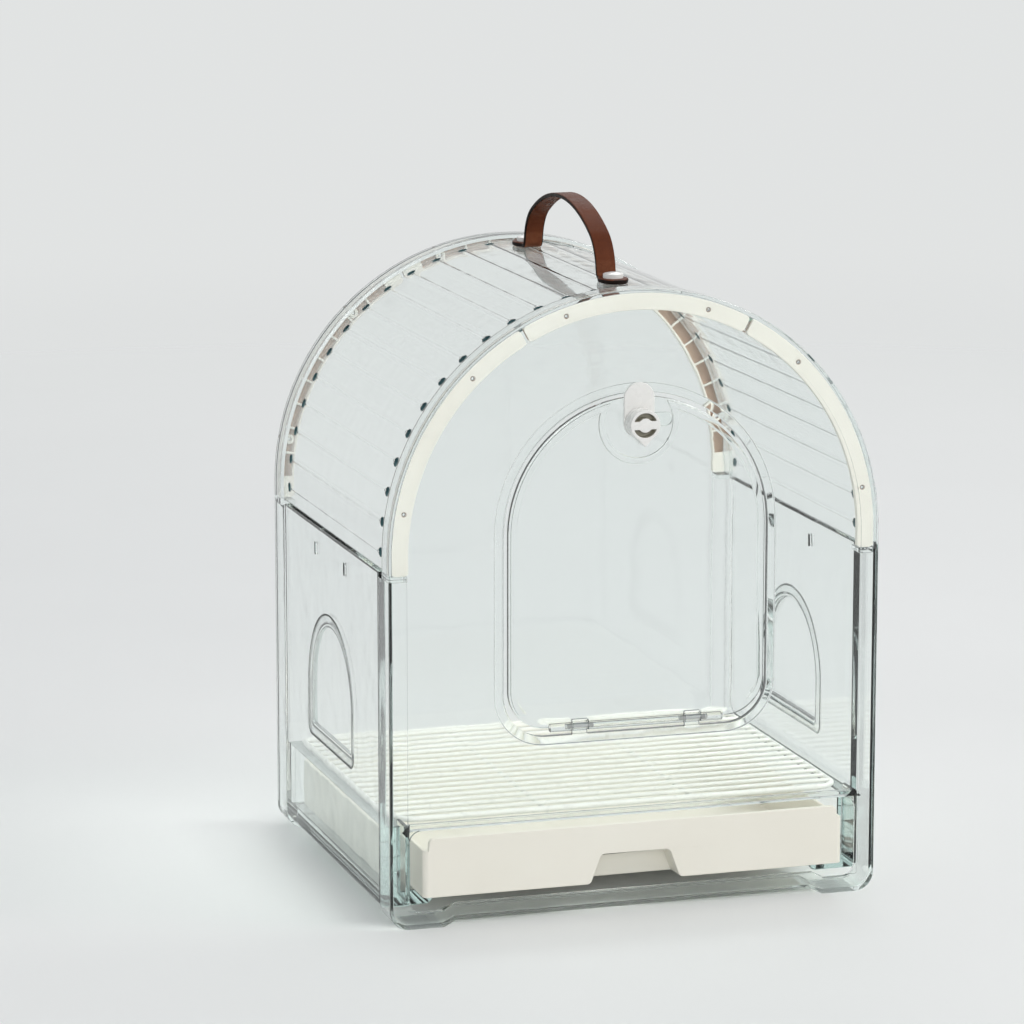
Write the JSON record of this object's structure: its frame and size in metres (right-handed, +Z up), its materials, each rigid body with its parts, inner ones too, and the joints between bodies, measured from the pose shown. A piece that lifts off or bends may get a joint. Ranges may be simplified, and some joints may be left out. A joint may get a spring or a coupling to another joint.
{
  "type": "bird travel carrier",
  "caption": "Clear arched small-bird travel carrier with hinged front door, turn lock, feeder windows, wire grate, pull-out tray and leather strap handle.",
  "frame": {"origin": "on the floor plane, under the centre of the object's box", "axes": "+Z up, -Y out of the front door, +X to the right seen from the front"},
  "size_m": [0.26, 0.2372, 0.3542],
  "materials": {
    "clear_shell": "clear bent sheet, glossy",
    "clear_cover": "clear moulded plastic, glossy",
    "clear_panel": "clear moulded plastic, glossy",
    "clear_door": "clear moulded plastic, glossy",
    "clear_feeder": "clear moulded plastic, glossy",
    "clear_cam": "clear moulded plastic, satin",
    "trim_white": "moulded, satin",
    "lock_white": "moulded, satin gloss",
    "tray_white": "moulded, satin",
    "grate_wire": "white coated wire",
    "strap_leather": "brown leather, dark painted edges",
    "eyelet_metal": "polished",
    "pin_steel": "satin",
    "cap_white": "smooth, glossy"
  },
  "bodies": {
    "shell": {"arch_shell": "clear_shell", "handle_nuts": "cap_white"},
    "front_cover": {"front_cover": "clear_cover", "front_trim_left": "trim_white", "front_trim_middle": "trim_white", "front_trim_right": "trim_white"},
    "rear_cover": {"rear_cover": "clear_cover", "rear_trim_left": "trim_white", "rear_trim_middle": "trim_white", "rear_trim_right": "trim_white"},
    "door": {"door": "clear_door", "door_hinge_pins": "pin_steel", "lock_plate": "lock_white"},
    "lock": {"lock_knob": "lock_white", "lock_cam": "clear_cam", "lock_screw": "pin_steel"},
    "left_panel": {"left_side_panel": "clear_panel"},
    "right_panel": {"right_side_panel": "clear_panel"},
    "left_feeder": {"left_feeder_cover": "clear_feeder"},
    "right_feeder": {"right_feeder_cover": "clear_feeder"},
    "grate": {"wire_grate": "grate_wire"},
    "tray": {"drip_tray": "tray_white"},
    "handle": {"handle_strap": "strap_leather", "handle_eyelets": "eyelet_metal", "handle_screws": "cap_white"}
  },
  "joints": [
    {"name": "front_cover_slide", "type": "slide", "parent": "shell", "child": "front_cover", "axis": [0, -1, 0], "range_m": [0, 0.09]},
    {"name": "rear_cover_slide", "type": "slide", "parent": "shell", "child": "rear_cover", "axis": [0, 1, 0], "range_m": [0, 0.09]},
    {"name": "left_panel_slide", "type": "slide", "parent": "shell", "child": "left_panel", "axis": [-1, 0, 0], "range_m": [0, 0.082]},
    {"name": "right_panel_slide", "type": "slide", "parent": "shell", "child": "right_panel", "axis": [1, 0, 0], "range_m": [0, 0.082]},
    {"name": "left_feeder_slide", "type": "slide", "parent": "left_panel", "child": "left_feeder", "axis": [-1, 0, 0], "range_m": [0, 0.057]},
    {"name": "right_feeder_slide", "type": "slide", "parent": "right_panel", "child": "right_feeder", "axis": [1, 0, 0], "range_m": [0, 0.057]},
    {"name": "tray_slide", "type": "slide", "parent": "shell", "child": "tray", "axis": [0, -1, 0], "range_m": [0, 0.15]},
    {"name": "grate_lift", "type": "slide", "parent": "shell", "child": "grate", "axis": [0, 0, 1], "range_m": [0, 0.08]},
    {"name": "door_hinge", "type": "hinge", "parent": "front_cover", "child": "door", "pos_m": [0, -0.1059, 0.099], "axis": [1, 0, 0], "range_deg": [0, 100]},
    {"name": "lock_turn", "type": "hinge", "parent": "door", "child": "lock", "pos_m": [0, -0.1074, 0.253], "axis": [0, -1, 0], "range_deg": [0, 90]},
    {"name": "handle_lift", "type": "slide", "parent": "shell", "child": "handle", "axis": [0, 0, 1], "range_m": [0, 0.076]}
  ]
}
